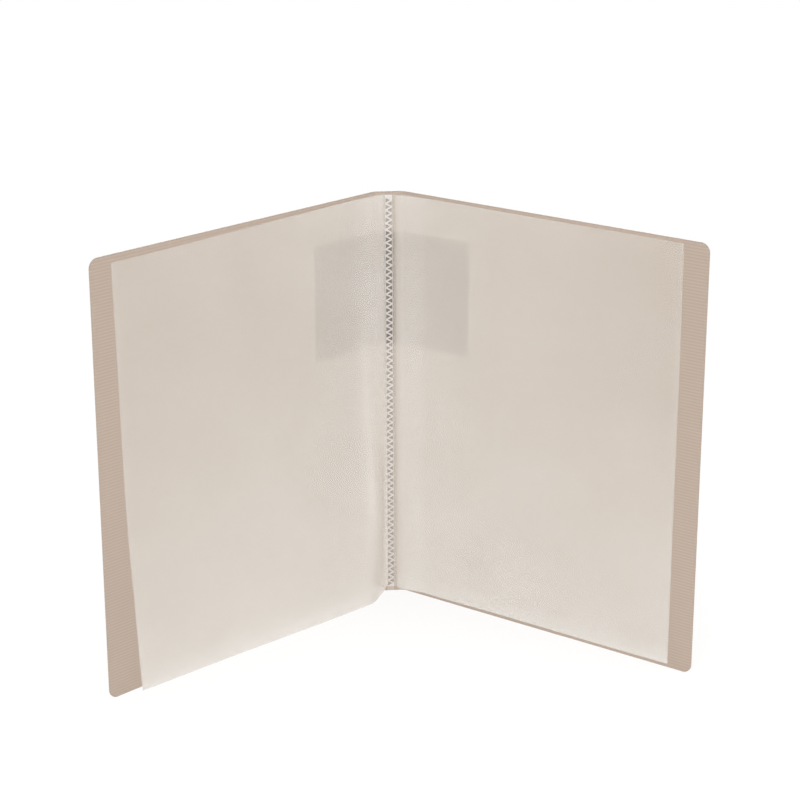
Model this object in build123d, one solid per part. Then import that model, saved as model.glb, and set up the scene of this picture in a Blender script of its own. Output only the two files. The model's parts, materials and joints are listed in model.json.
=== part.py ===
"""Clear pocket display book for A4 sheets, standing open on its bottom edge.

One plastic cover sheet is creased twice into front cover, spine and back cover. Clear film pockets are
welded to the middle of the spine in one toothed band, half of them opening to each side. Each pocket is
two films, welded together along the outer, bottom and inner edges and open at the top.

Millimetres, +Z up. The book opens towards -Y, with the spine at the back and the front cover at -X.
The origin is the middle of the box round the book, on the surface that it stands on.
"""
from build123d import *
import math
import os

# Cover sheet
cover_thickness = 0.7
cover_corner_radius = 6.5
cover_angle = 38.0  # degrees that each cover stands forward of flat
closed_angle = 90.0  # degrees forward of flat when the book is shut

# Creases between spine and covers
crease_bead_radius = 0.15  # the thin web that is left at the fold
crease_clearance = 0.05
crease_play = 3.0  # degrees left open at each side of the fold when the book is shut

# Pockets
pages_per_side = 10
turning_pages = 2  # pages at the middle of the book that can be turned by themselves, on each side
film_thickness = 0.06
pocket_gap = 0.14  # room between the two films
pocket_height = 304.0
pocket_reach = 229.0  # from the middle of the weld to the outer edge, along the film
pocket_foot = 4.0  # cover below the pockets
pocket_head = 2.0  # cover above the pockets
pocket_margin = 19.25  # cover beyond the outer edge of the pockets, when the book lies flat
seam_width = 3.5

# Stack of pages beside the spine
cover_gap = 0.2  # between the first page and the cover, when shut
closed_clearance = 0.38  # between neighbouring pages, when shut
flat_clearance = 0.14  # between neighbouring pages, when the book lies flat
spine_gap = 0.45  # between the first page and the spine, when the book lies flat
turning_clearance = 0.16  # between a page that turns and the page below it
page_lift = 0.1  # degrees between the cover and the first page
front_spread = 0.7  # degrees over which the front pages fan out
back_spread = 0.3

# Weld that holds the pages to the spine
weld_width = 5.0
weld_margin = 0.45  # from the side of the weld to the innermost page
weld_tooth_pitch = 4.8
weld_tooth_depth = 0.35
weld_side_land = 0.3  # smooth edge at each side of the teeth
weld_tip_land = 1.2  # from the tip of a tooth to the foot of the opposite teeth
weld_base_land = 1.3  # between the feet of two teeth in a column
weld_layer_gap = 0.04  # left between the film pairs where they leave the weld
root_run = 0.3  # straight run of the last root beside the weld
root_run_step = 0.25  # each root below it runs on by this much more
hinge_gap = 0.15  # from the fold line of a page to the end of its root, and to the page

# Plain paper label wrapped round the spine
label_height = 84.0
label_drop = 29.6  # from the top of the cover
label_flap = 55.0  # reach over each cover
label_thickness = 0.15
label_fold = 0.5  # bare strip at each side of a crease

# Sizes that follow from those above
film_pair = 2 * film_thickness
page_thickness = film_pair + pocket_gap
page_pitch = page_thickness + closed_clearance
page_step = page_thickness + flat_clearance
turning_pitch = page_thickness + turning_clearance
cover_height = pocket_foot + pocket_height + pocket_head
crease_bevel = closed_angle / 2 - crease_play  # degrees of wall at each side of the crease
spine_half = cover_thickness + cover_gap + pages_per_side * page_pitch + weld_margin + weld_width / 2
cover_width = pocket_reach + pocket_margin - spine_half  # from the crease to the outer edge
weld_thickness = pages_per_side * (film_pair + weld_layer_gap)
weld_front = -cover_thickness - weld_thickness
fixed_pages = pages_per_side - turning_pages


def prism(points, height, base=0.0):
    """An upright prism on a plan outline."""
    outline = Polyline(*points, close=True)
    return Pos(0, 0, base) * extrude(make_face(outline), amount=height)


def along(angle, length):
    """A plan vector of a given length at an angle from +X, in degrees."""
    return Vector(length * math.cos(math.radians(angle)), length * math.sin(math.radians(angle)))


# Where the pages fold


def page_angle(side, page):
    """Degrees forward of flat. Page 0 lies next to the cover."""
    spread = front_spread if side < 0 else back_spread
    return cover_angle + page_lift + spread * page / (pages_per_side - 1)


def page_heading(side, page):
    """Plan direction from the fold line to the outer edge, in degrees from +X."""
    angle = page_angle(side, page)
    return 180 + angle if side < 0 else -angle


def fold_line(side, page):
    """Plan point of a page's fold line.

    The lines climb like stairs from the crease to the weld, so that neighbouring pages keep apart from
    flat to shut. The pages that turn by themselves fold just above the page that carries them.
    """
    stair = min(page, fixed_pages - 1)
    first = spine_half - cover_thickness - cover_gap - page_pitch / 2
    depth = cover_thickness + spine_gap + page_thickness / 2 + stair * page_step
    point = Vector(side * (first - stair * page_pitch), -depth)
    for below in range(stair, page):
        point += along(page_heading(side, below) - side * 90, turning_pitch)
    return point


def root_end_gap(page):
    """From the end of a root to the fold line. A page that rides on others moves in as the book shuts."""
    return hinge_gap + turning_pitch * max(0, page - fixed_pages + 1)


def root_path(side, page):
    """Plan points of the film from the side of the weld to the fold line."""
    layer = weld_thickness / pages_per_side
    depth = -cover_thickness - layer * (page + 0.5)
    start = Vector(side * weld_width / 2, depth)
    run = root_run + root_run_step * (pages_per_side - 1 - page)
    return start, start + Vector(side * run, 0), fold_line(side, page)


def page_length(side, page):
    """From the fold line to the outer edge: all films are cut to the same reach from the weld."""
    start, bend, fold = root_path(side, page)
    return pocket_reach - weld_width / 2 - (bend - start).length - (fold - bend).length


# Cover sheet


def crease_point(side):
    return Vector(side * spine_half, 0)


def bevel_reach():
    """How far the bevel of a crease runs into a panel."""
    return cover_thickness / math.tan(math.radians(crease_bevel))


def make_spine():
    """Flat strip between the creases, with the web of each crease along its edge."""
    shoulder = spine_half - bevel_reach()
    strip = prism(
        [
            (-spine_half, 0),
            (spine_half, 0),
            (shoulder, -cover_thickness),
            (-shoulder, -cover_thickness),
        ],
        cover_height,
    )
    bead = extrude(Circle(crease_bead_radius), amount=cover_height)
    webs = [Pos(side * spine_half, 0, 0) * bead for side in (-1, 1)]
    return strip + webs


def on_cover(side, piece):
    """Swing a piece made on the flat cover to the angle at which the cover stands."""
    crease = Pos(*crease_point(side))
    return crease * Rot(0, 0, -side * cover_angle) * crease.inverse() * piece


def make_cover(side):
    """Panel with a bevel along its crease and two round outer corners."""
    start = crease_bead_radius + crease_clearance
    bevel_start = along(crease_bevel, start)
    plan = [
        (start, 0),
        (cover_width, 0),
        (cover_width, -cover_thickness),
        (bevel_reach(), -cover_thickness),
        (bevel_start.X, -bevel_start.Y),
    ]
    panel = prism([(side * (spine_half + x), y) for x, y in plan], cover_height)
    outer_corners = panel.edges().filter_by(Axis.Y).sort_by(lambda edge: -side * edge.center().X)[:2]
    return on_cover(side, fillet(outer_corners, cover_corner_radius))


# Plain label


def label_panel(near, far):
    """Upright sheet on the outer face, between two places along X."""
    foot = cover_height - label_drop - label_height
    outline = [(near, 0), (far, 0), (far, label_thickness), (near, label_thickness)]
    return prism(outline, label_height, foot)


def make_spine_label():
    reach = spine_half - label_fold
    return label_panel(-reach, reach)


def make_label_flap(side):
    return on_cover(side, label_panel(side * (spine_half + label_fold), side * (spine_half + label_flap)))


# Weld and the roots of the pages


def weld_teeth():
    """Two columns of pressed triangles that point at each other and interlock, as a face seen from -Y."""
    foot = weld_width / 2 - weld_side_land
    tip = foot - weld_tip_land
    half_base = (weld_tooth_pitch - weld_base_land) / 2
    half_pitch = weld_tooth_pitch / 2
    teeth = []
    for tooth in range(1, int(pocket_height / half_pitch)):
        side = -1 if tooth % 2 else 1
        height = tooth * half_pitch
        corners = [(side * foot, height - half_base), (side * foot, height + half_base), (-side * tip, height)]
        teeth.append(make_face(Polyline(*corners, close=True)))
    return teeth


def make_weld():
    """The fused middle of all the films, pressed against the spine."""
    band = Pos(0, (weld_front - cover_thickness) / 2, pocket_foot) * Box(
        weld_width, weld_thickness, pocket_height, align=(Align.CENTER, Align.CENTER, Align.MIN)
    )
    front = Plane(origin=(0, weld_front, pocket_foot), x_dir=(1, 0, 0), z_dir=(0, -1, 0))
    pressed = [extrude(front * tooth, amount=-weld_tooth_depth) for tooth in weld_teeth()]
    return band - pressed


def ribbon(points, width):
    """Outline of a bent strip of even width along three plan points."""
    start, bend, end = points
    first = (bend - start).normalized()
    second = (end - bend).normalized()
    left = [Vector(-step.Y, step.X) for step in (first, second)]
    mitre = (left[0] + left[1]) * (1 / (1 + left[0].dot(left[1])))
    offsets = [(start, left[0]), (bend, mitre), (end, left[1])]
    one_side = [point + shift * (width / 2) for point, shift in offsets]
    other_side = [point - shift * (width / 2) for point, shift in reversed(offsets)]
    return [(point.X, point.Y) for point in one_side + other_side]


def make_roots(side):
    """The film pairs between the weld and the fold lines, one for each page."""
    roots = []
    for page in range(pages_per_side):
        start, bend, fold = root_path(side, page)
        end = fold - (fold - bend).normalized() * root_end_gap(page)
        roots.append(prism(ribbon((start, bend, end), film_pair), pocket_height, pocket_foot))
    return Compound(children=roots)


# Pockets


def page_slab(side, page, near, far, low, high, base, height):
    """A flat piece of a page: along the page, through its thickness and up."""
    outline = [(near, low), (far, low), (far, high), (near, high)]
    slab = prism(outline, height, pocket_foot + base)
    return Pos(*fold_line(side, page)) * Rot(0, 0, page_heading(side, page)) * slab


def make_films(side, page):
    """Front film and back film of one pocket. The welded seams go with the back film."""
    length = page_length(side, page)
    inner = hinge_gap + seam_width
    outer = length - seam_width
    gap_half = pocket_gap / 2
    page_half = page_thickness / 2
    front = page_slab(side, page, hinge_gap, length, -page_half, -gap_half, 0, pocket_height)
    back = page_slab(side, page, hinge_gap, length, gap_half, page_half, 0, pocket_height)
    seams = [
        page_slab(side, page, hinge_gap, inner, -gap_half, gap_half, 0, pocket_height),
        page_slab(side, page, outer, length, -gap_half, gap_half, 0, pocket_height),
        page_slab(side, page, inner, outer, -gap_half, gap_half, 0, seam_width),
    ]
    return front, Compound(children=[back] + seams)


def pocket_number(side, page):
    """Pockets are counted through the book from the front cover."""
    return page + 1 if side < 0 else 2 * pages_per_side - page


def make_nodes():
    nodes = {
        "spine": make_spine(),
        "front_cover": make_cover(-1),
        "back_cover": make_cover(1),
        "spine_label": make_spine_label(),
        "front_label_flap": make_label_flap(-1),
        "back_label_flap": make_label_flap(1),
        "page_weld": make_weld(),
        "front_page_roots": make_roots(-1),
        "back_page_roots": make_roots(1),
    }
    for side in (-1, 1):
        for page in range(pages_per_side):
            front, back = make_films(side, page)
            name = f"pocket_{pocket_number(side, page):02d}"
            nodes[f"{name}_front_film"] = front
            nodes[f"{name}_back_film"] = back
    boxes = [piece.bounding_box() for piece in nodes.values()]
    front_edge = min(box.min.Y for box in boxes)
    back_edge = max(box.max.Y for box in boxes)
    to_origin = Pos(0, -(front_edge + back_edge) / 2, 0)
    return {name: to_origin * piece for name, piece in nodes.items()}


os.makedirs("parts", exist_ok=True)
for node_name, node_piece in make_nodes().items():
    export_step(node_piece, f"parts/{node_name}.step")
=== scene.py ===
"""Looks of a clear pocket display book that stands open, in metres, in the frame of the CAD."""
import bpy
import bmesh
import json
import math
from mathutils import Matrix, Vector


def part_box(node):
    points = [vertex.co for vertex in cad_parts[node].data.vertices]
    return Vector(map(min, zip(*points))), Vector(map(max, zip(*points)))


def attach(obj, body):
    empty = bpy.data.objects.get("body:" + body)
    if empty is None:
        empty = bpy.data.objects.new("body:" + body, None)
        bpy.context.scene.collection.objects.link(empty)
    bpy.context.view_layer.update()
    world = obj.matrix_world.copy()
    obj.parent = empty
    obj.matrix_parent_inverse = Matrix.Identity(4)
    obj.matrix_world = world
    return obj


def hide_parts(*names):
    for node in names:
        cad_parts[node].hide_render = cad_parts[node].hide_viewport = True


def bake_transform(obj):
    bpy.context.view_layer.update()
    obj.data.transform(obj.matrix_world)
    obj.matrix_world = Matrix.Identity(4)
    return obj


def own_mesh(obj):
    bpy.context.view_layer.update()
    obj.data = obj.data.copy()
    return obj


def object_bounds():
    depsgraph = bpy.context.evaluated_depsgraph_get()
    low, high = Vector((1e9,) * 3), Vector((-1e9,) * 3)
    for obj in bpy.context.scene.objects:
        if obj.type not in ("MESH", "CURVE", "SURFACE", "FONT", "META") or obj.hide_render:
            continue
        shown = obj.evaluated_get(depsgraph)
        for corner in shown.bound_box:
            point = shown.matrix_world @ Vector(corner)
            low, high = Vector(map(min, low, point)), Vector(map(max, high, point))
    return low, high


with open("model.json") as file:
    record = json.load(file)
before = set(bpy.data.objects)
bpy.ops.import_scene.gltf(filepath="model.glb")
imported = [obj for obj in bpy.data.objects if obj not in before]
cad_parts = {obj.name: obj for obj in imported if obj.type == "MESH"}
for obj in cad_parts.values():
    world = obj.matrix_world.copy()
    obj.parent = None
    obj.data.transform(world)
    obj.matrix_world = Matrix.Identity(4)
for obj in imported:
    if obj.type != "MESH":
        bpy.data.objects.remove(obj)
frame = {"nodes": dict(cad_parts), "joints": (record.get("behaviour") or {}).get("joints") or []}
cad_low, cad_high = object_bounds()
mm = 0.001

# Camera, from the corners of the covers in the photograph
image_size = 800
focal_pixels = 1967.4
view_centre_pixels = (460, 280)
camera_from_crease = Vector((-90.1, -1335.6, 672.1)) * mm
camera_yaw = math.radians(6.034)
camera_pitch = math.radians(17.723)
camera_roll = math.radians(0.301)

# Pages. In pairs of values, -1 is the side of the front cover and 1 the side of the back cover
pages_per_side = 10
fixed_pages = 8  # pages on each side that fold with the cover, while the others turn by themselves
turning_pitch = 0.42 * mm
seam_width = 3.5 * mm
seam_border = 0.25 * mm
hinge_gap = 0.15 * mm
film_half_gap = 0.04 * mm
mouth_half_gap = 0.08 * mm
film_touch = 0.02 * mm
mouth_reach = 40 * mm  # height below the open top over which the films part
page_columns = 34
page_rows = 26
column_growth = 1.7  # columns of a page stand closer together beside the spine
column_clearance = 0.2 * mm
seam_tolerance = 0.1 * mm
film_sharp_angle = math.radians(120)
packed_pitch = 0.2 * mm  # from page to page, where they lie packed together away from the spine
pack_reach = 25 * mm
bow_slope = 0.65  # rise of the bow beside the spine, for each length of film from the fold
bow_shortest = 12 * mm  # least length of film from the fold to the crest of the bow
bow_corner = 0.22  # softness of the crest, as a share of that length
bow_foot = {-1: 17.5 * mm, 1: 0.5 * mm}  # height of the bow at the bottom of the book
bow_head = {-1: -0.8 * mm, 1: -0.6 * mm}
bow_fade = 2.6  # power by which the bow dies away up the book
bow_of_first_page = 0.85  # as a share of the bow of the innermost page
bow_left_over = 0.2  # share of the bow that is left at the outer edge
wave_height = 0.35 * mm
wave_start = 5 * mm  # waves grow from here to wave_full, along the page from its fold
wave_full = 60 * mm
wave_turns = (38, 9)  # radians for each metre along and up the page
second_wave_turns = (-17, 31)
second_wave_share = 0.6
droop = {-1: math.radians(0.8), 1: 0.0}  # the front pages hang a little
droop_start = 25 * mm
haze_at_spine = 3.3  # haze is added to the 1 of plain film
haze_reach = 120 * mm
haze_at_foot = 3.6
foot_haze_fade = 2.5
haze_at_bottom = 10.0  # along the welded bottom edge of the pockets
bottom_reach = 3 * mm
page_bottom = 4 * mm
haze_at_fold = {-1: 3.5, 1: 0.0}
fold_reach = 14 * mm
foot_weight_fade = 1.5
root_haze = {-1: 10.0, 1: 4.0}
fold_painted_light = {-1: 1.0, 1: 0.0}  # painted light: share by which the film's tint is lightened near its fold, most at the foot, over the shade of the bow beside the spine
# painted light on the roots between the weld and the folds, most at the foot, over their shade
root_painted_light = {-1: 1.0, 1: 0.3}

# Twist of the covers and of the pages on them, at the bottom of the book
twist_foot = {-1: math.radians(-0.8), 1: 0.0}

# Cover sheet
cover_thickness = 0.7 * mm
cover_corner = 6.5 * mm
crease_reach = 3.4 * mm  # from the crease to each end of the soft bend
crease_score = 0.3 * mm
score_width = 0.07  # as a share of the bend
line_pitch = 2.2 * mm
cover_rows = 24
cover_steps = 24
corner_steps = 8
bend_steps = 24
spine_steps = 8
cover_sharp_angle = math.radians(30)
band_sharp_angle = math.radians(40)

# Label and weld
label_thickness = 0.15 * mm
label_lift = 0.01 * mm
label_steps = 12
weld_half_width = 2.5 * mm
weld_layer = 0.16 * mm
weld_tooth_depth = 0.35 * mm
root_columns = 10
root_pull = 0.35  # straight start and end of a root, as a share of its span

# Colours and clearness
film_milk = 0.0165  # share of the light that one plain film scatters
film_milk_spread = (0.75, 0.5)  # least of it, and how much the clouds add
film_seam_milk = 0.3  # how much a seam adds
film_through = 0.4  # share of the scattered light that goes on through
film_gloss = 0.005
film_edge_gloss = 0.25
film_edge_power = 3.0
film_rough = 0.16
film_tint = (0.73, 0.716, 0.688, 1)
# paler milk tint used as painted light over the shade beside the spine
film_painted_light = (0.95, 0.93, 0.895, 1)
film_clear = (0.998, 0.997, 0.995, 1)
sheet_light = (0.474, 0.364, 0.283, 1)
sheet_dark = (0.376, 0.288, 0.222, 1)
sheet_clear = (0.95, 0.93, 0.90, 1)
sheet_share = 0.58  # what is not let straight through
sheet_share_at_weld = 0.36
sheet_glow = 0.22
line_tone = 0.55  # how much the pressed lines and the slow drift each change the tone
drift_tone = 0.45
line_relief = 0.7
speck_relief = 0.5
sheet_rough = (0.38, 0.16)  # least roughness, and how much the specks add
edge_light = (0.46, 0.38, 0.32, 1)
edge_dark = (0.40, 0.33, 0.28, 1)
edge_share = 0.9
weld_ridge = (0.67, 0.64, 0.606, 1)
# painted shade: dark colour of the pressed teeth, standing in for the shade seen through them
weld_tooth_painted_shade = (0.34, 0.314, 0.296, 1)
weld_clear = (0.97, 0.96, 0.95, 1)
weld_ridge_share = 0.72
weld_tooth_share = 0.42
weld_tooth_wall = (0.1, 0.9)  # shares of the depth between which ridge turns to tooth
weld_rough = (0.12, 0.2)
paper_dark = (0.085, 0.073, 0.067, 1)
paper_light = (0.155, 0.136, 0.125, 1)
fibre_tone = 0.7  # how much the fibres and the clouds each change the tone
cloud_tone = 0.3
floor_grey = (0.9, 0.9, 0.9, 1)
white_colour = (1, 1, 1, 1)

# Studio, in metres and watts
floor_half_size = 20.0
floor_fade = (0.2, 0.9)  # distances between which the floor goes from part to full white
floor_white_near = 0.72
sky_colour = (1.0, 0.99, 0.98, 1)
sky_strength = 0.42
book_middle = (0, 0, 0.15)
film_layers_seen = 128
sensor_width = 36.0  # millimetres

edge_depth = 0.5 * mm  # of the points that count as a node's outer edge
joints = {joint["name"]: joint for joint in frame["joints"]}
book_height = cad_high.z - cad_low.z


# Places in plan


def flat(vector):
    return Vector((vector[0], vector[1]))


def pocket_name(side, page):
    number = page + 1 if side < 0 else 2 * pages_per_side - page
    return f"pocket_{number:02d}"


def fold_point(side, page):
    name = pocket_name(side, page)
    joint = joints.get(name + "_fold") or joints[name + "_turn"]
    return flat(joint["pos_m"])


def cover_name(side):
    return "front_cover" if side < 0 else "back_cover"


def crease_point(side):
    return flat(joints[cover_name(side) + "_fold"]["pos_m"])


def reach_from(point, nodes):
    """Direction and distance from a plan point to the outer edge of some nodes."""
    places = [flat(vertex.co) for node in nodes for vertex in frame["nodes"][node].data.vertices]
    far = max((place - point).length for place in places)
    outer = [place for place in places if (place - point).length > far - edge_depth]
    middle = sum(outer, Vector((0, 0))) / len(outer)
    return (middle - point).normalized(), (middle - point).length


def inside_of(side, heading):
    """Plan direction from a page or cover towards the inside of the open book."""
    return Vector((side * heading.y, -side * heading.x))


def smooth_step(low, high, value):
    share = min(1.0, max(0.0, (value - low) / (high - low)))
    return share * share * (3 - 2 * share)


def soft_corner(run, softness):
    """Rises evenly from 0 to 1 and stays there, with the corner rounded off."""
    if run <= 1 - softness:
        return run
    if run >= 1 + softness:
        return 1.0
    return 1 - (1 + softness - run) ** 2 / (4 * softness)


def twist(side, along, height):
    share = height / book_height
    return along * math.tan(twist_foot[side] * (1 - share))


def page_pack(side, page, along):
    """From a page's own plane to where it lies when the pages are packed together on the first one."""
    fold = fold_point(side, page)
    heading = page_heading[side, page]
    first = inside_of(side, page_heading[side, 0])
    lift = (fold + heading * along - fold_point(side, 0)).dot(first)
    return page * packed_pitch - lift


def page_bow(side, page, along, height):
    """How far a page stands off its flat place: twist, packing, the bow beside the spine, slow waves."""
    share = height / book_height
    stack = page / (pages_per_side - 1)
    pack = page_pack(side, page, along) * smooth_step(0, pack_reach, along)
    crest = bow_head[side] + (bow_foot[side] - bow_head[side]) * (1 - share) ** bow_fade
    reach = max(bow_shortest, crest / bow_slope)
    beyond = max(0.0, along - reach) / (page_length[side, page] - reach)
    fall = 1 - (1 - bow_left_over) * beyond
    rise = soft_corner(along / reach, bow_corner)
    bow = crest * (bow_of_first_page + (1 - bow_of_first_page) * stack) * rise * fall
    first = math.sin(along * wave_turns[0] + height * wave_turns[1] + side)
    second = math.sin(height * second_wave_turns[1] + along * second_wave_turns[0] + 2 * side)
    wave = wave_height * smooth_step(wave_start, wave_full, along) * (first + second_wave_share * second)
    return twist(side, along, height) + pack + bow + wave


def page_droop(side, along, height):
    """Place along and up a page that turns a little about the spine in its own plane under its weight."""
    share = smooth_step(0, droop_start, along)
    drop = droop[side] * share
    return along + drop * (height - book_height / 2), height - drop * along


def foot_weight(height):
    """Weight that is most at the foot of the book and falls to nothing at its top; it sets the extra haze at
    the fold and the painted light near the fold and on the roots.
    """
    return (1 - height / book_height) ** foot_weight_fade


def page_haze(side, along, height):
    """The film is cloudier beside the spine, at a tight fold, at the foot and along the bottom edge."""
    spine = haze_at_spine * math.exp(-along / haze_reach)
    crease = haze_at_fold[side] * math.exp(-along / fold_reach) * foot_weight(height)
    foot = haze_at_foot * (1 - height / book_height) ** foot_haze_fade
    bottom = haze_at_bottom * math.exp(-(height - page_bottom) / bottom_reach)
    return 1 + spine + crease + foot + bottom


# Meshes


def add_object(name, vertices, faces, materials):
    mesh = bpy.data.meshes.new(name)
    mesh.from_pydata([tuple(vertex) for vertex in vertices], [], faces)
    mesh.update()
    for material in materials:
        mesh.materials.append(material)
    thing = bpy.data.objects.new(name, mesh)
    bpy.context.scene.collection.objects.link(thing)
    return thing


def shade_smooth(thing, sharp_angle):
    """Smooth shading with creases at edges that fold by more than an angle."""
    work = bmesh.new()
    work.from_mesh(thing.data)
    for face in work.faces:
        face.smooth = True
    for edge in work.edges:
        folded = len(edge.link_faces) == 2 and edge.calc_face_angle(0.0) > sharp_angle
        edge.smooth = not folded
    work.to_mesh(thing.data)
    work.free()


def face_outwards(thing):
    work = bmesh.new()
    work.from_mesh(thing.data)
    bmesh.ops.recalc_face_normals(work, faces=work.faces)
    work.to_mesh(thing.data)
    work.free()


def add_values(thing, name, values):
    attribute = thing.data.attributes.new(name, "FLOAT", "POINT")
    attribute.data.foreach_set("value", values)


def even_steps(low, high, count):
    return [low + (high - low) * step / count for step in range(count + 1)]


def pocket_columns(length):
    near = hinge_gap
    shares = [(step / page_columns) ** column_growth for step in range(page_columns + 1)]
    bent = [near + (length - near) * share for share in shares]
    seams = [near + seam_width, near + seam_width + seam_border]
    seams += [length - seam_width - seam_border, length - seam_width]
    clear = [place for place in bent if min(abs(place - seam) for seam in seams) > column_clearance]
    return sorted(clear + seams)


def make_pocket(side, page, material):
    """Two films joined along the inner, outer and bottom seams, open at the top."""
    name = pocket_name(side, page)
    nodes = [name + "_front_film", name + "_back_film"]
    fold = fold_point(side, page)
    heading = page_heading[side, page]
    length = page_length[side, page]
    inside = inside_of(side, heading)
    low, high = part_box(nodes[0])
    columns = pocket_columns(length)
    seam_top = low.z + seam_width
    rows = [low.z] + even_steps(seam_top, seam_top + seam_border, 1)
    rows += even_steps(seam_top + seam_border, high.z, page_rows)[1:]
    stand_off = {}
    reach = {}
    for j, height in enumerate(rows):
        for i, along in enumerate(columns):
            stand_off[i, j] = page_bow(side, page, along, height)
            if i == 0:
                reach[i, j] = along
                continue
            step = along - columns[i - 1]
            rise = stand_off[i, j] - stand_off[i - 1, j]
            reach[i, j] = reach[i - 1, j] + math.sqrt(max(0.0, step * step - rise * rise))
    vertices = []
    seam_share = []
    haze_share = []
    painted_light_share = []
    index = {}
    for film in (-1, 1):
        for i, along in enumerate(columns):
            for j, height in enumerate(rows):
                edge = i == 0 or i == len(columns) - 1 or j == 0
                if film == 1 and edge:
                    index[film, i, j] = index[-1, i, j]
                    continue
                inner = along - columns[0] < seam_width + seam_tolerance
                outer = columns[-1] - along < seam_width + seam_tolerance
                in_seam = inner or outer or height < seam_top + seam_tolerance
                mouth = smooth_step(high.z - mouth_reach, high.z, height)
                gap = film_touch if in_seam else film_half_gap + (mouth_half_gap - film_half_gap) * mouth
                off = stand_off[i, j] + (0 if edge else film * gap)
                away, level = page_droop(side, reach[i, j], height)
                place = fold + heading * away + inside * off
                index[film, i, j] = len(vertices)
                vertices.append((place.x, place.y, level))
                seam_share.append(1.0 if in_seam else 0.0)
                haze_share.append(page_haze(side, along, height))
                # painted light: the tint is lightened near the fold, most at the foot, over the shade of the
                # bow
                painted_light_share.append(fold_painted_light[side] * math.exp(-along / fold_reach) * foot_weight(height))
    faces = []
    for film in (-1, 1):
        for i in range(len(columns) - 1):
            for j in range(len(rows) - 1):
                steps = [(i, j), (i + 1, j), (i + 1, j + 1), (i, j + 1)]
                ring = [index[film, column, row] for column, row in steps]
                faces.append(ring if film * side > 0 else ring[::-1])
    thing = add_object(name, vertices, faces, [material])
    shade_smooth(thing, film_sharp_angle)
    add_values(thing, "seam", seam_share)
    add_values(thing, "haze", haze_share)
    add_values(thing, "white", painted_light_share)
    thing.visible_shadow = False
    thing.visible_diffuse = False
    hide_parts(*nodes)
    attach(thing, name)
    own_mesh(thing)


def make_roots(side, material):
    """The film pairs between the weld and the folds, each one a curved sheet."""
    node = cover_name(side).replace("cover", "page_roots")
    low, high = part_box(node)
    rows = even_steps(low.z, high.z, page_rows)
    spine_face = crease_point(side).y - cover_thickness
    vertices = []
    painted_light_share = []
    faces = []
    for page in range(pages_per_side):
        fold = fold_point(side, page)
        heading = page_heading[side, page]
        inside = inside_of(side, heading)
        start = Vector((side * weld_half_width, spine_face - weld_layer * (page + 0.5)))
        first = len(vertices)
        for height in rows:
            foot = hinge_gap
            slope = (page_bow(side, page, 2 * foot, height) - page_bow(side, page, foot, height)) / foot
            end = fold + heading * foot + inside * page_bow(side, page, foot, height)
            if page >= fixed_pages:
                end = fold - (fold - start).normalized() * (foot + turning_pitch * (page - fixed_pages + 1))
            leave = (heading + inside * slope).normalized()
            span = (end - start).length
            early = start + Vector((side, 0)) * span * root_pull
            late = end - leave * span * root_pull
            pull = [start, early, late, end]
            for step in range(root_columns + 1):
                t = step / root_columns
                weights = [(1 - t) ** 3, 3 * t * (1 - t) ** 2, 3 * t * t * (1 - t), t ** 3]
                place = sum((point * weight for point, weight in zip(pull, weights)), Vector((0, 0)))
                vertices.append((place.x, place.y, height))
                # painted light on the roots, most at the foot
                painted_light_share.append(root_painted_light[side] * foot_weight(height))
        width = root_columns + 1
        for j in range(len(rows) - 1):
            for i in range(root_columns):
                corner = first + j * width + i
                ring = [corner, corner + 1, corner + width + 1, corner + width]
                faces.append(ring if side > 0 else ring[::-1])
    thing = add_object(node + "_film", vertices, faces, [material])
    shade_smooth(thing, film_sharp_angle)
    add_values(thing, "seam", [0.0] * len(vertices))
    add_values(thing, "haze", [root_haze[side]] * len(vertices))
    add_values(thing, "white", painted_light_share)
    thing.visible_shadow = False
    thing.visible_diffuse = False
    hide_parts(node)
    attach(thing, "spine")


def cover_place(side, along, height, depth):
    """A point of a twisted cover. Depth goes from the outer face towards the inside of the book."""
    crease = crease_point(side)
    heading = cover_heading[side]
    place = crease + heading * along + inside_of(side, heading) * (twist(side, along, height) + depth)
    return place.x, place.y, height


def cover_columns(start, width):
    """Even columns, then closer ones round the outer corners."""
    even = even_steps(start, width - cover_corner, cover_steps)
    angles = [math.pi / 2 * step / corner_steps for step in range(1, corner_steps + 1)]
    return even + [width - cover_corner * (1 - math.sin(angle)) for angle in angles]


def corner_cut(along, width):
    """How much the round corner takes off the height of a column."""
    run = along - (width - cover_corner)
    return cover_corner - math.sqrt(max(0.0, cover_corner ** 2 - run ** 2)) if run > 0 else 0.0


def make_cover(side, skin, edge):
    """Twisted panel with two skins and round outer corners, open where the soft bend goes on."""
    width = cover_width[side]
    skins = []
    vertices = []
    rows = cover_rows
    for depth in (0.0, cover_thickness):
        layer = []
        for along in cover_columns(crease_reach, width):
            cut = corner_cut(along, width)
            column = []
            for height in even_steps(cad_low.z + cut, cad_high.z - cut, rows):
                column.append(len(vertices))
                vertices.append(cover_place(side, along, height, depth))
            layer.append(column)
        skins.append(layer)
    outer, inner = skins
    last = len(outer) - 1
    faces = []
    for i in range(last):
        for j in range(rows):
            faces.append([outer[i][j], outer[i][j + 1], outer[i + 1][j + 1], outer[i + 1][j]])
            faces.append([inner[i][j], inner[i + 1][j], inner[i + 1][j + 1], inner[i][j + 1]])
    skin_faces = len(faces)
    for i in range(last):
        faces.append([outer[i][0], outer[i + 1][0], inner[i + 1][0], inner[i][0]])
        faces.append([outer[i][rows], inner[i][rows], inner[i + 1][rows], outer[i + 1][rows]])
    for j in range(rows):
        faces.append([outer[last][j], outer[last][j + 1], inner[last][j + 1], inner[last][j]])
    if side > 0:
        faces = [ring[::-1] for ring in faces]
    node = cover_name(side)
    thing = add_object(node + "_sheet", vertices, faces, [skin, edge])
    for polygon in list(thing.data.polygons)[skin_faces:]:
        polygon.material_index = 1
    shade_smooth(thing, cover_sharp_angle)
    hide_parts(node)
    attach(thing, node)


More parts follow.
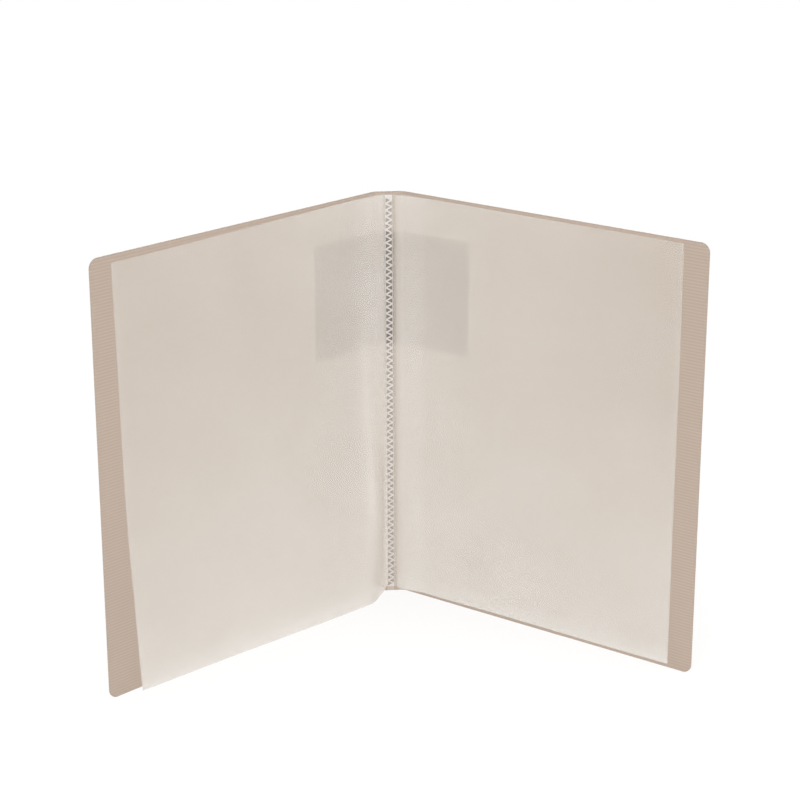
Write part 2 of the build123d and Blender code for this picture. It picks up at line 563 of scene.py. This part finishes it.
def make_band(name, stations, low, high, materials):
    """Upright band through plan stations of an outer and an inner point. Its rims take the last material."""
    vertices = []
    for height in (low, high):
        for outer, inner in stations:
            vertices.append((outer.x, outer.y, height))
            vertices.append((inner.x, inner.y, height))
    row = 2 * len(stations)
    skins = []
    rims = []
    for a in range(0, row - 2, 2):
        skins.append([a, a + 2, a + 2 + row, a + row])
        skins.append([a + 1, a + 1 + row, a + 3 + row, a + 3])
        rims.append([a, a + 1, a + 3, a + 2])
        rims.append([a + row, a + 2 + row, a + 3 + row, a + 1 + row])
    thing = add_object(name, vertices, skins + rims, materials)
    for polygon in list(thing.data.polygons)[len(skins):]:
        polygon.material_index = len(materials) - 1
    face_outwards(thing)
    shade_smooth(thing, band_sharp_angle)
    return thing


def spine_stations(low_depth, high_depth):
    """Flat part of the spine between the soft bends."""
    reach = crease_point(1).x - crease_reach
    face = crease_point(1).y
    places = even_steps(-reach, reach, spine_steps)
    return [(Vector((x, face - low_depth)), Vector((x, face - high_depth))) for x in places]


def bend_stations(side, low_depth, high_depth, score):
    """Soft bend from the spine to a cover, with a scored line down its inner face."""
    crease = crease_point(side)
    heading = cover_heading[side]
    begin = crease - Vector((side, 0)) * crease_reach
    end = crease + heading * crease_reach
    stations = []
    for step in range(bend_steps + 1):
        t = step / bend_steps
        place = begin * (1 - t) ** 2 + crease * 2 * t * (1 - t) + end * t * t
        inwards = (Vector((0, -1)) * (1 - t) + inside_of(side, heading) * t).normalized()
        groove = score * math.exp(-(((t - 0.5) / score_width) ** 2))
        stations.append((place + inwards * low_depth, place + inwards * (high_depth - groove)))
    return stations


def blend_at_crease(thing):
    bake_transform(thing)


def make_label_flap(side, material):
    """Paper that lies on the outer face of a twisted cover."""
    node = cover_name(side).replace("cover", "label_flap")
    low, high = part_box(node)
    reach = reach_from(crease_point(side), [node])[1]
    columns = even_steps(crease_reach, reach, label_steps)
    rows = even_steps(low.z, high.z, label_steps)
    vertices = []
    for depth in (-label_thickness, -label_lift):
        for along in columns:
            for height in rows:
                vertices.append(cover_place(side, along, height, depth))
    wide = len(columns)
    tall = len(rows)
    skin = wide * tall
    faces = []
    for i in range(wide - 1):
        for j in range(tall - 1):
            a = i * tall + j
            faces.append([a, a + 1, a + tall + 1, a + tall])
            faces.append([skin + a, skin + a + tall, skin + a + tall + 1, skin + a + 1])
    for i in range(wide - 1):
        for a in (i * tall, i * tall + tall - 1):
            faces.append([a, a + tall, skin + a + tall, skin + a])
    for j in range(tall - 1):
        for a in (j, (wide - 1) * tall + j):
            faces.append([a, a + 1, skin + a + 1, skin + a])
    thing = add_object(node + "_paper", vertices, faces, [material])
    face_outwards(thing)
    shade_smooth(thing, band_sharp_angle)
    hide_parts(node)
    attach(thing, cover_name(side))


# Materials


class Shader:
    """A material's node tree, with short calls to add and join nodes."""

    def __init__(self, name):
        self.material = bpy.data.materials.new(name)
        self.material.use_nodes = True
        self.tree = self.material.node_tree
        self.tree.nodes.clear()

    def add(self, kind, settings=None, **inputs):
        node = self.tree.nodes.new(kind)
        for key, value in (settings or {}).items():
            setattr(node, key, value)
        for key, value in inputs.items():
            self.put(node, key.replace("_", " "), value)
        return node

    def put(self, node, key, value):
        """Set an input, by name or by number, to a constant or to another node's output."""
        socket = node.inputs[key]
        if isinstance(value, bpy.types.NodeSocket):
            self.tree.links.new(value, socket)
        else:
            socket.default_value = value

    def math(self, operation, first, second=0.0, third=0.0):
        node = self.tree.nodes.new("ShaderNodeMath")
        node.operation = operation
        for place, value in enumerate((first, second, third)):
            self.put(node, place, value)
        return node.outputs[0]

    def mix_shader(self, share, first, second):
        node = self.tree.nodes.new("ShaderNodeMixShader")
        self.put(node, 0, share)
        self.put(node, 1, first)
        self.put(node, 2, second)
        return node.outputs[0]

    def mix_colour(self, share, first, second):
        """Sockets 6 and 7 of the node are its two colours, and output 2 is their mix."""
        node = self.tree.nodes.new("ShaderNodeMix")
        node.data_type = "RGBA"
        self.put(node, 0, share)
        self.put(node, 6, first)
        self.put(node, 7, second)
        return node.outputs[2]

    def finish(self, shader):
        output = self.tree.nodes.new("ShaderNodeOutputMaterial")
        self.put(output, 0, shader)
        return self.material


def film_material(name):
    """Clear soft film, a little milky, with a gloss that grows towards the edge-on view. Its milk is painted
    lighter by the white attribute, as painted light over the shade beside the spine.
    """
    s = Shader(name)
    place = s.add("ShaderNodeTexCoord").outputs["Object"]
    cloud = s.add("ShaderNodeTexNoise", Vector=place, Scale=22.0, Detail=1.0).outputs["Fac"]
    seam = s.add("ShaderNodeAttribute", {"attribute_name": "seam"}).outputs["Fac"]
    haze = s.add("ShaderNodeAttribute", {"attribute_name": "haze"}).outputs["Fac"]
    least, added = [film_milk * part for part in film_milk_spread]
    cloudy = s.math("MULTIPLY", haze, s.math("MULTIPLY_ADD", cloud, added, least))
    share = s.math("MULTIPLY_ADD", seam, film_milk * film_seam_milk, cloudy)
    # painted light: the milk's tint is lightened towards a paler colour where the white attribute is set
    white = s.add("ShaderNodeAttribute", {"attribute_name": "white"}).outputs["Fac"]
    tint = s.mix_colour(white, film_tint, film_painted_light)
    front = s.add("ShaderNodeBsdfDiffuse", Color=tint).outputs[0]
    through = s.add("ShaderNodeBsdfTranslucent", Color=tint).outputs[0]
    milky = s.mix_shader(film_through, front, through)
    clear = s.add("ShaderNodeBsdfTransparent", Color=film_clear).outputs[0]
    body = s.mix_shader(share, clear, milky)
    shine = s.add("ShaderNodeBsdfGlossy", Color=white_colour, Roughness=film_rough).outputs[0]
    facing = s.add("ShaderNodeLayerWeight", Blend=0.5).outputs["Facing"]
    edge_on = s.math("POWER", facing, film_edge_power)
    weight = s.math("MULTIPLY_ADD", edge_on, film_edge_gloss, film_gloss)
    return s.finish(s.mix_shader(weight, body, shine))


def cover_material(name, light, dark, cover_share, weld_share=None):
    """Translucent polypropylene with fine pressed lines along the sheet. It is clearer where it is welded."""
    s = Shader(name)
    place = s.add("ShaderNodeTexCoord").outputs["Object"]
    height = s.add("ShaderNodeSeparateXYZ", Vector=place).outputs["Z"]
    drift = s.add("ShaderNodeTexNoise", Vector=place, Scale=6.0, Detail=2.0).outputs["Fac"]
    speck = s.add("ShaderNodeTexNoise", Vector=place, Scale=1400.0, Detail=2.0).outputs["Fac"]
    phase = s.math("MULTIPLY", height, 2 * math.pi / line_pitch)
    line = s.math("MULTIPLY_ADD", s.math("SINE", phase), 0.5, 0.5)
    tone = s.math("ADD", s.math("MULTIPLY", line, line_tone), s.math("MULTIPLY", drift, drift_tone))
    base = s.mix_colour(tone, dark, light)
    relief = s.math("ADD", s.math("MULTIPLY", line, line_relief), s.math("MULTIPLY", speck, speck_relief))
    bump = s.add("ShaderNodeBump", Strength=0.25, Distance=0.0002, Height=relief).outputs["Normal"]
    rough = s.math("MULTIPLY_ADD", speck, sheet_rough[1], sheet_rough[0])
    sheet = s.add("ShaderNodeBsdfPrincipled", Base_Color=base, Roughness=rough, Normal=bump)
    sheet.inputs["Specular IOR Level"].default_value = 0.35
    glow = s.add("ShaderNodeBsdfTranslucent", Color=base).outputs[0]
    body = s.mix_shader(sheet_glow, sheet.outputs[0], glow)
    clear = s.add("ShaderNodeBsdfTransparent", Color=sheet_clear).outputs[0]
    share = cover_share
    if weld_share is not None:
        across = s.math("ABSOLUTE", s.add("ShaderNodeSeparateXYZ", Vector=place).outputs["X"])
        welded = s.math("LESS_THAN", across, weld_half_width)
        welded = s.math("MULTIPLY", welded, s.math("LESS_THAN", height, weld_high.z))
        share = s.math("MULTIPLY_ADD", welded, weld_share - cover_share, cover_share)
    return s.finish(s.mix_shader(share, clear, body))


def weld_material(name, front_face):
    """Fused film: milky ridges between clear pressed teeth, which also carry a dark colour as painted shade.
    """
    s = Shader(name)
    place = s.add("ShaderNodeTexCoord").outputs["Object"]
    depth = s.add("ShaderNodeSeparateXYZ", Vector=place).outputs["Y"]
    sunk = s.add("ShaderNodeMapRange", Value=depth).outputs[0]
    ramp = sunk.node
    ramp.inputs["From Min"].default_value = front_face + weld_tooth_wall[0] * weld_tooth_depth
    ramp.inputs["From Max"].default_value = front_face + weld_tooth_wall[1] * weld_tooth_depth
    speck = s.add("ShaderNodeTexNoise", Vector=place, Scale=700.0, Detail=3.0).outputs["Fac"]
    # painted shade: the pressed teeth take the dark tooth colour
    base = s.mix_colour(sunk, weld_ridge, weld_tooth_painted_shade)
    bump = s.add("ShaderNodeBump", Strength=0.3, Distance=0.0002, Height=speck).outputs["Normal"]
    rough = s.math("MULTIPLY_ADD", speck, weld_rough[1], weld_rough[0])
    plastic = s.add("ShaderNodeBsdfPrincipled", Base_Color=base, Roughness=rough, Normal=bump).outputs[0]
    clear = s.add("ShaderNodeBsdfTransparent", Color=weld_clear).outputs[0]
    share = s.math("MULTIPLY_ADD", sunk, weld_tooth_share - weld_ridge_share, weld_ridge_share)
    return s.finish(s.mix_shader(share, clear, plastic))


def paper_material(name):
    """Plain dark uncoated paper with fibres."""
    s = Shader(name)
    place = s.add("ShaderNodeTexCoord").outputs["Object"]
    stretch = s.add("ShaderNodeMapping", Vector=place, Scale=(900.0, 900.0, 350.0)).outputs[0]
    fibre = s.add("ShaderNodeTexNoise", Vector=stretch, Scale=1.0, Detail=4.0).outputs["Fac"]
    cloud = s.add("ShaderNodeTexNoise", Vector=place, Scale=60.0, Detail=3.0).outputs["Fac"]
    tone = s.math("ADD", s.math("MULTIPLY", fibre, fibre_tone), s.math("MULTIPLY", cloud, cloud_tone))
    base = s.mix_colour(tone, paper_dark, paper_light)
    bump = s.add("ShaderNodeBump", Strength=0.35, Distance=0.0001, Height=fibre).outputs["Normal"]
    paper = s.add("ShaderNodeBsdfPrincipled", Base_Color=base, Roughness=0.85, Normal=bump)
    paper.inputs["Specular IOR Level"].default_value = 0.2
    return s.finish(paper.outputs[0])


def floor_material():
    """White floor that keeps a soft shadow."""
    s = Shader("floor")
    path = s.add("ShaderNodeLightPath").outputs
    seen = s.math("MAXIMUM", path["Is Camera Ray"], path["Is Glossy Ray"])
    seen = s.math("MAXIMUM", seen, path["Is Transmission Ray"])
    place = s.add("ShaderNodeTexCoord").outputs["Object"]
    away = s.add("ShaderNodeVectorMath", {"operation": "LENGTH"}, Vector=place).outputs["Value"]
    fade = s.add("ShaderNodeMapRange", Value=away)
    fade.inputs["From Min"].default_value = floor_fade[0]
    fade.inputs["From Max"].default_value = floor_fade[1]
    fade.inputs["To Min"].default_value = floor_white_near
    fade.inputs["To Max"].default_value = 1.0
    plain = s.add("ShaderNodeBsdfDiffuse", Color=floor_grey).outputs[0]
    white = s.add("ShaderNodeEmission", Color=white_colour, Strength=1.0).outputs[0]
    return s.finish(s.mix_shader(s.math("MULTIPLY", seen, fade.outputs[0]), plain, white))


# Stage, light and camera


def make_floor():
    size = floor_half_size
    corners = [(-size, -size, 0), (size, -size, 0), (size, size, 0), (-size, size, 0)]
    add_object("floor", corners, [[0, 1, 2, 3]], [floor_material()])


def make_world():
    world = bpy.data.worlds.new("studio")
    bpy.context.scene.world = world
    world.use_nodes = True
    tree = world.node_tree
    tree.nodes.clear()
    path = tree.nodes.new("ShaderNodeLightPath")
    sky = tree.nodes.new("ShaderNodeBackground")
    sky.inputs["Color"].default_value = sky_colour
    sky.inputs["Strength"].default_value = sky_strength
    white = tree.nodes.new("ShaderNodeBackground")
    white.inputs["Color"].default_value = white_colour
    white.inputs["Strength"].default_value = 1.0
    seen = tree.nodes.new("ShaderNodeMath")
    seen.operation = "MAXIMUM"
    tree.links.new(path.outputs["Is Camera Ray"], seen.inputs[0])
    tree.links.new(path.outputs["Is Glossy Ray"], seen.inputs[1])
    either = tree.nodes.new("ShaderNodeMath")
    either.operation = "MAXIMUM"
    tree.links.new(seen.outputs[0], either.inputs[0])
    tree.links.new(path.outputs["Is Transmission Ray"], either.inputs[1])
    mix = tree.nodes.new("ShaderNodeMixShader")
    tree.links.new(either.outputs[0], mix.inputs[0])
    tree.links.new(sky.outputs[0], mix.inputs[1])
    tree.links.new(white.outputs[0], mix.inputs[2])
    output = tree.nodes.new("ShaderNodeOutputWorld")
    tree.links.new(mix.outputs[0], output.inputs[0])


def make_lamp(name, place, target, size, power):
    lamp = bpy.data.lights.new(name, "AREA")
    lamp.shape = "SQUARE"
    lamp.size = size
    lamp.energy = power
    thing = bpy.data.objects.new(name, lamp)
    thing.location = place
    thing.rotation_euler = (Vector(target) - Vector(place)).to_track_quat("-Z", "Y").to_euler()
    bpy.context.scene.collection.objects.link(thing)


def make_camera():
    camera = bpy.data.cameras.new("camera")
    camera.sensor_width = sensor_width
    camera.lens = focal_pixels / image_size * sensor_width
    camera.shift_x = -(view_centre_pixels[0] - image_size / 2) / image_size
    camera.shift_y = (view_centre_pixels[1] - image_size / 2) / image_size
    thing = bpy.data.objects.new("camera", camera)
    bpy.context.scene.collection.objects.link(thing)
    level = math.cos(camera_pitch)
    forward = Vector((math.sin(camera_yaw) * level, math.cos(camera_yaw) * level, -math.sin(camera_pitch)))
    right = Vector((math.cos(camera_yaw), -math.sin(camera_yaw), 0))
    up = right.cross(forward)
    tilted_right = right * math.cos(camera_roll) + up * math.sin(camera_roll)
    tilted_up = up * math.cos(camera_roll) - right * math.sin(camera_roll)
    crease = crease_point(-1)
    turn = Matrix((tilted_right, tilted_up, -forward)).transposed().to_4x4()
    place = camera_from_crease + Vector((0, crease.y, 0))
    thing.matrix_world = Matrix.Translation(place) @ turn
    bpy.context.scene.camera = thing


# The book

cover_heading = {}
cover_width = {}
page_heading = {}
page_length = {}
for side in (-1, 1):
    cover_heading[side], cover_width[side] = reach_from(crease_point(side), [cover_name(side)])
    for page in range(pages_per_side):
        films = [pocket_name(side, page) + film for film in ("_front_film", "_back_film")]
        page_heading[side, page], page_length[side, page] = reach_from(fold_point(side, page), films)

weld_low, weld_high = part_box("page_weld")
pocket_film = film_material("pocket_film")
sheet = cover_material("cover_sheet", sheet_light, sheet_dark, sheet_share)
spine_sheet = cover_material("spine_sheet", sheet_light, sheet_dark, sheet_share, sheet_share_at_weld)
sheet_edge = cover_material("cover_edge", edge_light, edge_dark, edge_share)
paper = paper_material("label_paper")
weld = weld_material("page_weld", weld_low.y)

label_low, label_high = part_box("spine_label")
spine = make_band(
    "spine_sheet", spine_stations(0, cover_thickness),
    cad_low.z, cad_high.z, [spine_sheet, sheet_edge]
)
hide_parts("spine")
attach(spine, "spine")
spine_paper = make_band(
    "spine_label_paper", spine_stations(-label_thickness, -label_lift),
    label_low.z, label_high.z, [paper]
)
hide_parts("spine_label")
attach(spine_paper, "spine")

for side in (-1, 1):
    make_cover(side, sheet, sheet_edge)
    bend = make_band(
        cover_name(side).replace("cover", "crease"),
        bend_stations(side, 0, cover_thickness, crease_score),
        cad_low.z, cad_high.z, [sheet, sheet_edge]
    )
    blend_at_crease(bend)
    make_label_flap(side, paper)
    fold = make_band(
        cover_name(side).replace("cover", "label_fold"),
        bend_stations(side, -label_thickness, -label_lift, 0),
        label_low.z, label_high.z, [paper]
    )
    blend_at_crease(fold)
    make_roots(side, pocket_film)
    for page in range(pages_per_side):
        make_pocket(side, page, pocket_film)

weld_mesh = frame["nodes"]["page_weld"].data
weld_mesh.materials.clear()
weld_mesh.materials.append(weld)

make_floor()
make_world()
make_lamp("front", place=(-0.1, -2.3, 0.9), target=book_middle, size=1.8, power=22)
make_lamp("key", place=(-1.3, -1.6, 1.9), target=book_middle, size=1.4, power=25)
make_lamp("top", place=(0, -0.2, 2.6), target=(0, 0, 0), size=2.2, power=34)
make_lamp("back", place=(0.3, 2.4, 1.3), target=book_middle, size=1.8, power=22)
make_lamp("fill", place=(1.7, -1.2, 1.1), target=book_middle, size=1.4, power=14)
make_camera()

scene = bpy.context.scene
scene.view_settings.view_transform = "Standard"
scene.cycles.transparent_max_bounces = film_layers_seen
